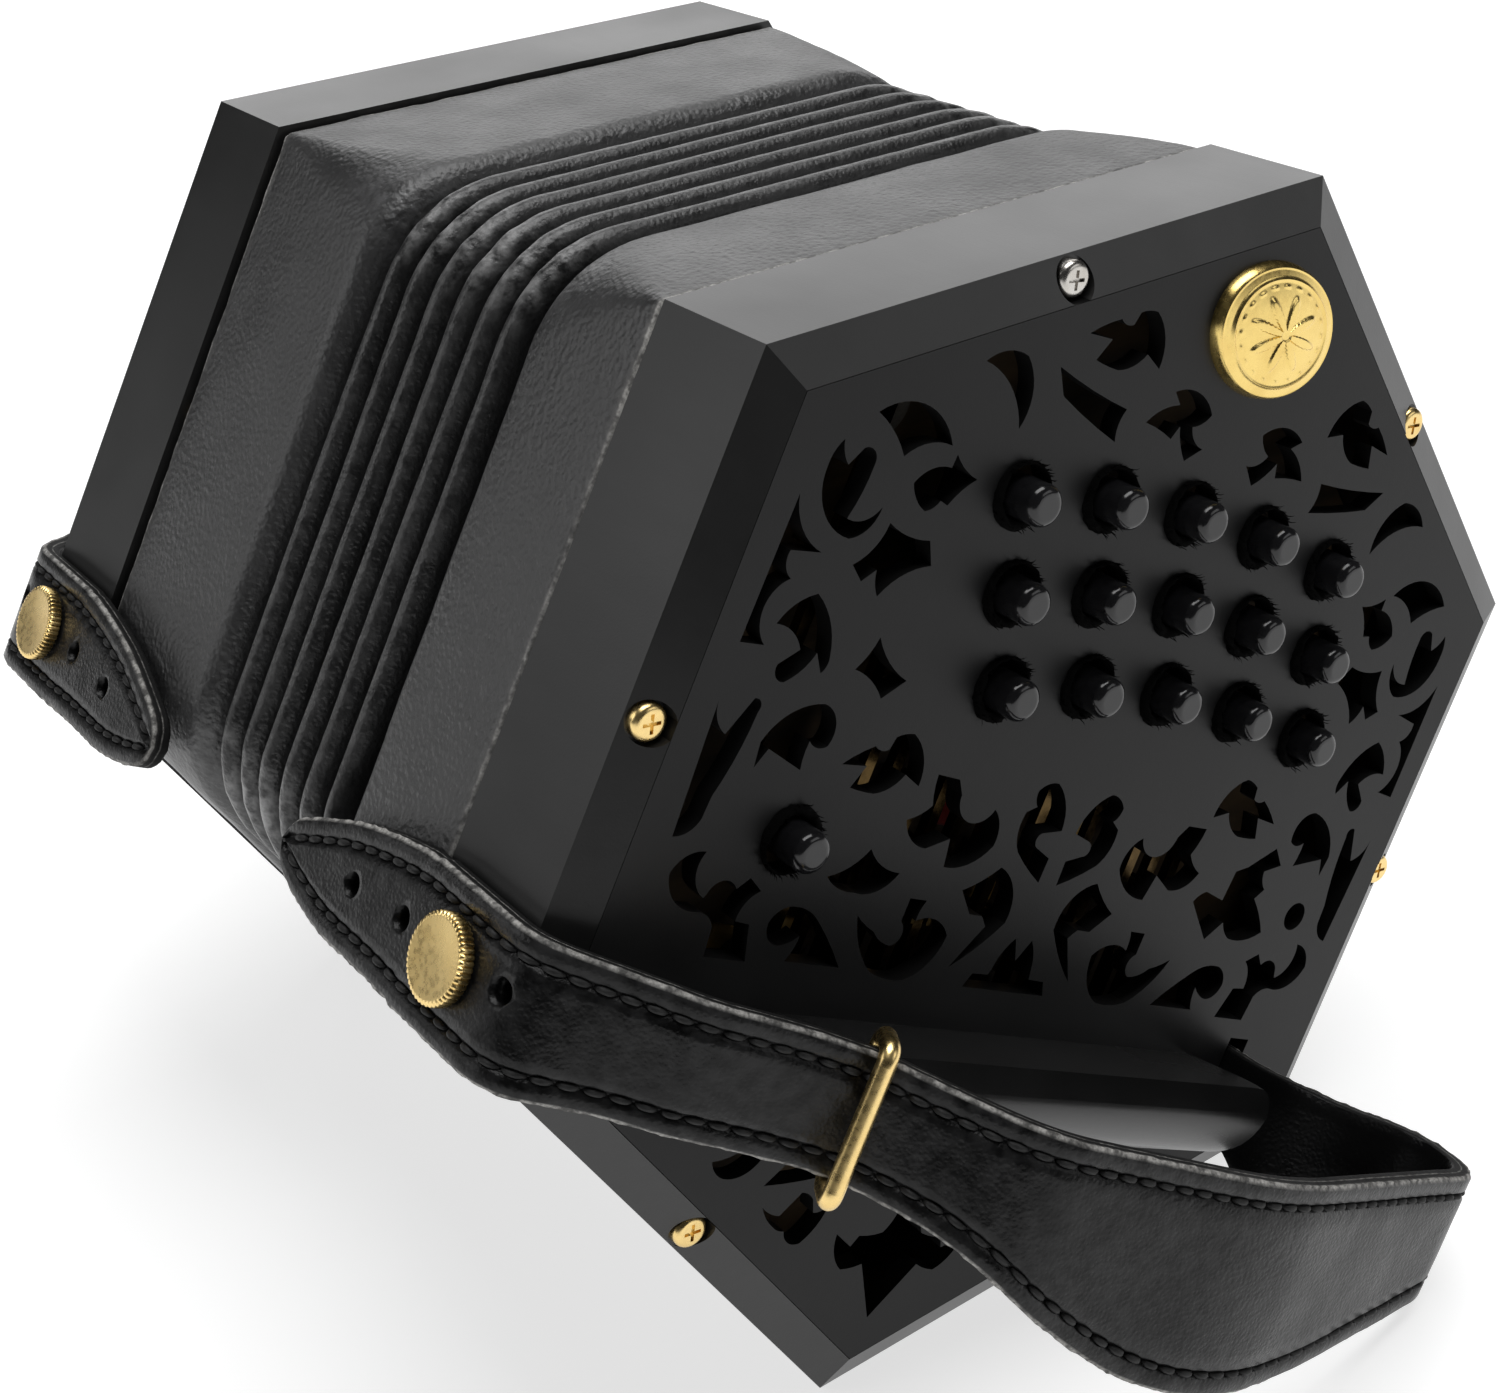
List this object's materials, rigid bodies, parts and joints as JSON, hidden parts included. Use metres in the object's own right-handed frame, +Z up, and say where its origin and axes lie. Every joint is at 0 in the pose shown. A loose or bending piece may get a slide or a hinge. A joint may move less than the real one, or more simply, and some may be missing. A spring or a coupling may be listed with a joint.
{
  "type": "concertina",
  "caption": "Hexagonal hand-held squeeze box with a pleated leather bellows, round finger buttons at both ends, hand rails and leather hand straps.",
  "frame": {"origin": "centre of the bounding box at the height of the flat the instrument stands on", "axes": "+X along the instrument towards the right-hand end, +Z up, -Y on the side of the thumb screws"},
  "size_m": [0.249, 0.19, 0.16],
  "materials": {
    "casings": "satin black",
    "end_plates": "matt charcoal",
    "hand_rails": "satin black",
    "inner_wood": "plain",
    "bellows_frames": "leather-covered, satin",
    "bellows_leather": "fine grain, satin",
    "straps": "thick, smooth",
    "keys": "polished",
    "fittings_brass": "worn satin",
    "action_brass": "plain",
    "medallion": "polished"
  },
  "bodies": {
    "right_end": {"right_end_plate": "end_plates", "right_casing": "casings", "right_action_board": "inner_wood", "right_lever_posts": "action_brass", "right_reed_pan": "inner_wood", "right_end_bolts": "fittings_brass", "right_hand_rail": "hand_rails", "right_hand_strap": "straps", "right_strap_slider": "fittings_brass", "right_bellows_frame": "bellows_frames", "right_medallion": "medallion"},
    "left_end": {"left_end_plate": "end_plates", "left_casing": "casings", "left_action_board": "inner_wood", "left_lever_posts": "action_brass", "left_reed_pan": "inner_wood", "left_end_bolts": "fittings_brass", "left_hand_rail": "hand_rails", "left_hand_strap": "straps", "left_strap_slider": "fittings_brass", "left_bellows_frame": "bellows_frames"},
    "fold_1": {"bellows_fold_1": "bellows_leather"},
    "fold_2": {"bellows_fold_2": "bellows_leather"},
    "fold_3": {"bellows_fold_3": "bellows_leather"},
    "fold_4": {"bellows_fold_4": "bellows_leather"},
    "fold_5": {"bellows_fold_5": "bellows_leather"},
    "fold_6": {"bellows_fold_6": "bellows_leather"},
    "right_screw": {"right_thumb_screw": "fittings_brass"},
    "left_screw": {"left_thumb_screw": "fittings_brass"},
    "right_key_1_1": {"right_key_1_1": "keys"},
    "right_key_1_2": {"right_key_1_2": "keys"},
    "right_key_1_3": {"right_key_1_3": "keys"},
    "right_key_1_4": {"right_key_1_4": "keys"},
    "right_key_1_5": {"right_key_1_5": "keys"},
    "right_key_2_1": {"right_key_2_1": "keys"},
    "right_key_2_2": {"right_key_2_2": "keys"},
    "right_key_2_3": {"right_key_2_3": "keys"},
    "right_key_2_4": {"right_key_2_4": "keys"},
    "right_key_2_5": {"right_key_2_5": "keys"},
    "right_key_3_1": {"right_key_3_1": "keys"},
    "right_key_3_2": {"right_key_3_2": "keys"},
    "right_key_3_3": {"right_key_3_3": "keys"},
    "right_key_3_4": {"right_key_3_4": "keys"},
    "right_key_3_5": {"right_key_3_5": "keys"},
    "right_air_key": {"right_air_key": "keys"},
    "left_key_1_1": {"left_key_1_1": "keys"},
    "left_key_1_2": {"left_key_1_2": "keys"},
    "left_key_1_3": {"left_key_1_3": "keys"},
    "left_key_1_4": {"left_key_1_4": "keys"},
    "left_key_1_5": {"left_key_1_5": "keys"},
    "left_key_2_1": {"left_key_2_1": "keys"},
    "left_key_2_2": {"left_key_2_2": "keys"},
    "left_key_2_3": {"left_key_2_3": "keys"},
    "left_key_2_4": {"left_key_2_4": "keys"},
    "left_key_2_5": {"left_key_2_5": "keys"},
    "left_key_3_1": {"left_key_3_1": "keys"},
    "left_key_3_2": {"left_key_3_2": "keys"},
    "left_key_3_3": {"left_key_3_3": "keys"},
    "left_key_3_4": {"left_key_3_4": "keys"},
    "left_key_3_5": {"left_key_3_5": "keys"}
  },
  "joints": [
    {"name": "bellows_1", "type": "slide", "parent": "right_end", "child": "fold_1", "axis": [-1, 0, 0], "range_m": [0, 0.024]},
    {"name": "bellows_2", "type": "slide", "parent": "fold_1", "child": "fold_2", "axis": [-1, 0, 0], "range_m": [0, 0.024]},
    {"name": "bellows_3", "type": "slide", "parent": "fold_2", "child": "fold_3", "axis": [-1, 0, 0], "range_m": [0, 0.024]},
    {"name": "bellows_4", "type": "slide", "parent": "fold_3", "child": "fold_4", "axis": [-1, 0, 0], "range_m": [0, 0.024]},
    {"name": "bellows_5", "type": "slide", "parent": "fold_4", "child": "fold_5", "axis": [-1, 0, 0], "range_m": [0, 0.024]},
    {"name": "bellows_6", "type": "slide", "parent": "fold_5", "child": "fold_6", "axis": [-1, 0, 0], "range_m": [0, 0.024]},
    {"name": "bellows_7", "type": "slide", "parent": "fold_6", "child": "left_end", "axis": [-1, 0, 0], "range_m": [0, 0.024]},
    {"name": "right_thumb_screw_turn", "type": "hinge", "parent": "right_end", "child": "right_screw", "pos_m": [0.0638, -0.08506, 0.08804], "axis": [0, -0.866, 0.5], "continuous": true},
    {"name": "left_thumb_screw_turn", "type": "hinge", "parent": "left_end", "child": "left_screw", "pos_m": [-0.0638, -0.08706, 0.08458], "axis": [0, -0.866, 0.5], "continuous": true},
    {"name": "right_key_1_1_press", "type": "hinge", "parent": "right_end", "child": "right_key_1_1", "pos_m": [0.064, -0.02962, 0.09287], "axis": [0, -0.866, 0.5], "range_deg": [0, 3.63], "stiffness_Nm_per_rad": 0.4, "springref_deg": -4.58},
    {"name": "right_key_1_2_press", "type": "hinge", "parent": "right_end", "child": "right_key_1_2", "pos_m": [0.064, -0.01595, 0.08497], "axis": [0, -0.866, 0.5], "range_deg": [0, 3.39], "stiffness_Nm_per_rad": 0.4, "springref_deg": -4.58},
    {"name": "right_key_1_3_press", "type": "hinge", "parent": "right_end", "child": "right_key_1_3", "pos_m": [0.064, -0.00194, 0.07689], "axis": [0, -0.866, 0.5], "range_deg": [0, 3.27], "stiffness_Nm_per_rad": 0.4, "springref_deg": -4.58},
    {"name": "right_key_1_4_press", "type": "hinge", "parent": "right_end", "child": "right_key_1_4", "pos_m": [0.064, 0.01239, 0.06861], "axis": [0, -0.866, 0.5], "range_deg": [0, 3.27], "stiffness_Nm_per_rad": 0.4, "springref_deg": -4.58},
    {"name": "right_key_1_5_press", "type": "hinge", "parent": "right_end", "child": "right_key_1_5", "pos_m": [0.064, 0.02705, 0.06015], "axis": [0, -0.866, 0.5], "range_deg": [0, 3.36], "stiffness_Nm_per_rad": 0.4, "springref_deg": -4.58},
    {"name": "right_key_2_1_press", "type": "hinge", "parent": "right_end", "child": "right_key_2_1", "pos_m": [0.064, -0.0295, 0.08298], "axis": [0, -0.866, 0.5], "range_deg": [0, 3.99], "stiffness_Nm_per_rad": 0.4, "springref_deg": -4.58},
    {"name": "right_key_2_2_press", "type": "hinge", "parent": "right_end", "child": "right_key_2_2", "pos_m": [0.064, -0.01582, 0.07509], "axis": [0, -0.866, 0.5], "range_deg": [0, 3.7], "stiffness_Nm_per_rad": 0.4, "springref_deg": -4.58},
    {"name": "right_key_2_3_press", "type": "hinge", "parent": "right_end", "child": "right_key_2_3", "pos_m": [0.064, -0.00182, 0.067], "axis": [0, -0.866, 0.5], "range_deg": [0, 3.56], "stiffness_Nm_per_rad": 0.4, "springref_deg": -4.58},
    {"name": "right_key_2_4_press", "type": "hinge", "parent": "right_end", "child": "right_key_2_4", "pos_m": [0.064, 0.01251, 0.05873], "axis": [0, -0.866, 0.5], "range_deg": [0, 3.55], "stiffness_Nm_per_rad": 0.4, "springref_deg": -4.58},
    {"name": "right_key_2_5_press", "type": "hinge", "parent": "right_end", "child": "right_key_2_5", "pos_m": [0.064, 0.02717, 0.05026], "axis": [0, -0.866, 0.5], "range_deg": [0, 3.66], "stiffness_Nm_per_rad": 0.4, "springref_deg": -4.58},
    {"name": "right_key_3_1_press", "type": "hinge", "parent": "right_end", "child": "right_key_3_1", "pos_m": [0.064, -0.02937, 0.0731], "axis": [0, -0.866, 0.5], "range_deg": [0, 4.42], "stiffness_Nm_per_rad": 0.4, "springref_deg": -4.58},
    {"name": "right_key_3_2_press", "type": "hinge", "parent": "right_end", "child": "right_key_3_2", "pos_m": [0.064, -0.0157, 0.0652], "axis": [0, -0.866, 0.5], "range_deg": [0, 4.07], "stiffness_Nm_per_rad": 0.4, "springref_deg": -4.58},
    {"name": "right_key_3_3_press", "type": "hinge", "parent": "right_end", "child": "right_key_3_3", "pos_m": [0.064, -0.0017, 0.05712], "axis": [0, -0.866, 0.5], "range_deg": [0, 3.9], "stiffness_Nm_per_rad": 0.4, "springref_deg": -4.58},
    {"name": "right_key_3_4_press", "type": "hinge", "parent": "right_end", "child": "right_key_3_4", "pos_m": [0.064, 0.01264, 0.04884], "axis": [0, -0.866, 0.5], "range_deg": [0, 3.89], "stiffness_Nm_per_rad": 0.4, "springref_deg": -4.58},
    {"name": "right_key_3_5_press", "type": "hinge", "parent": "right_end", "child": "right_key_3_5", "pos_m": [0.064, 0.0273, 0.04038], "axis": [0, -0.866, 0.5], "range_deg": [0, 4.02], "stiffness_Nm_per_rad": 0.4, "springref_deg": -4.58},
    {"name": "right_air_key_press", "type": "hinge", "parent": "right_end", "child": "right_air_key", "pos_m": [0.064, -0.02805, 0.1266], "axis": [0, 0.866, -0.5], "range_deg": [0, 4.5], "stiffness_Nm_per_rad": 0.4, "springref_deg": -4.58},
    {"name": "left_key_1_1_press", "type": "hinge", "parent": "left_end", "child": "left_key_1_1", "pos_m": [-0.064, -0.02962, 0.09287], "axis": [0, 0.866, -0.5], "range_deg": [0, 3.63], "stiffness_Nm_per_rad": 0.4, "springref_deg": -4.58},
    {"name": "left_key_1_2_press", "type": "hinge", "parent": "left_end", "child": "left_key_1_2", "pos_m": [-0.064, -0.01595, 0.08497], "axis": [0, 0.866, -0.5], "range_deg": [0, 3.39], "stiffness_Nm_per_rad": 0.4, "springref_deg": -4.58},
    {"name": "left_key_1_3_press", "type": "hinge", "parent": "left_end", "child": "left_key_1_3", "pos_m": [-0.064, -0.00194, 0.07689], "axis": [0, 0.866, -0.5], "range_deg": [0, 3.27], "stiffness_Nm_per_rad": 0.4, "springref_deg": -4.58},
    {"name": "left_key_1_4_press", "type": "hinge", "parent": "left_end", "child": "left_key_1_4", "pos_m": [-0.064, 0.01239, 0.06861], "axis": [0, 0.866, -0.5], "range_deg": [0, 3.27], "stiffness_Nm_per_rad": 0.4, "springref_deg": -4.58},
    {"name": "left_key_1_5_press", "type": "hinge", "parent": "left_end", "child": "left_key_1_5", "pos_m": [-0.064, 0.02705, 0.06015], "axis": [0, 0.866, -0.5], "range_deg": [0, 3.36], "stiffness_Nm_per_rad": 0.4, "springref_deg": -4.58},
    {"name": "left_key_2_1_press", "type": "hinge", "parent": "left_end", "child": "left_key_2_1", "pos_m": [-0.064, -0.0295, 0.08298], "axis": [0, 0.866, -0.5], "range_deg": [0, 3.99], "stiffness_Nm_per_rad": 0.4, "springref_deg": -4.58},
    {"name": "left_key_2_2_press", "type": "hinge", "parent": "left_end", "child": "left_key_2_2", "pos_m": [-0.064, -0.01582, 0.07509], "axis": [0, 0.866, -0.5], "range_deg": [0, 3.7], "stiffness_Nm_per_rad": 0.4, "springref_deg": -4.58},
    {"name": "left_key_2_3_press", "type": "hinge", "parent": "left_end", "child": "left_key_2_3", "pos_m": [-0.064, -0.00182, 0.067], "axis": [0, 0.866, -0.5], "range_deg": [0, 3.56], "stiffness_Nm_per_rad": 0.4, "springref_deg": -4.58},
    {"name": "left_key_2_4_press", "type": "hinge", "parent": "left_end", "child": "left_key_2_4", "pos_m": [-0.064, 0.01251, 0.05873], "axis": [0, 0.866, -0.5], "range_deg": [0, 3.55], "stiffness_Nm_per_rad": 0.4, "springref_deg": -4.58},
    {"name": "left_key_2_5_press", "type": "hinge", "parent": "left_end", "child": "left_key_2_5", "pos_m": [-0.064, 0.02717, 0.05026], "axis": [0, 0.866, -0.5], "range_deg": [0, 3.66], "stiffness_Nm_per_rad": 0.4, "springref_deg": -4.58},
    {"name": "left_key_3_1_press", "type": "hinge", "parent": "left_end", "child": "left_key_3_1", "pos_m": [-0.064, -0.02937, 0.0731], "axis": [0, 0.866, -0.5], "range_deg": [0, 4.42], "stiffness_Nm_per_rad": 0.4, "springref_deg": -4.58},
    {"name": "left_key_3_2_press", "type": "hinge", "parent": "left_end", "child": "left_key_3_2", "pos_m": [-0.064, -0.0157, 0.0652], "axis": [0, 0.866, -0.5], "range_deg": [0, 4.07], "stiffness_Nm_per_rad": 0.4, "springref_deg": -4.58},
    {"name": "left_key_3_3_press", "type": "hinge", "parent": "left_end", "child": "left_key_3_3", "pos_m": [-0.064, -0.0017, 0.05712], "axis": [0, 0.866, -0.5], "range_deg": [0, 3.9], "stiffness_Nm_per_rad": 0.4, "springref_deg": -4.58},
    {"name": "left_key_3_4_press", "type": "hinge", "parent": "left_end", "child": "left_key_3_4", "pos_m": [-0.064, 0.01264, 0.04884], "axis": [0, 0.866, -0.5], "range_deg": [0, 3.89], "stiffness_Nm_per_rad": 0.4, "springref_deg": -4.58},
    {"name": "left_key_3_5_press", "type": "hinge", "parent": "left_end", "child": "left_key_3_5", "pos_m": [-0.064, 0.0273, 0.04038], "axis": [0, 0.866, -0.5], "range_deg": [0, 4.02], "stiffness_Nm_per_rad": 0.4, "springref_deg": -4.58}
  ],
  "couplings": [
    {"joint": "bellows_2", "follows": "bellows_1", "ratio": 1},
    {"joint": "bellows_3", "follows": "bellows_1", "ratio": 1},
    {"joint": "bellows_4", "follows": "bellows_1", "ratio": 1},
    {"joint": "bellows_5", "follows": "bellows_1", "ratio": 1},
    {"joint": "bellows_6", "follows": "bellows_1", "ratio": 1},
    {"joint": "bellows_7", "follows": "bellows_1", "ratio": 1}
  ]
}
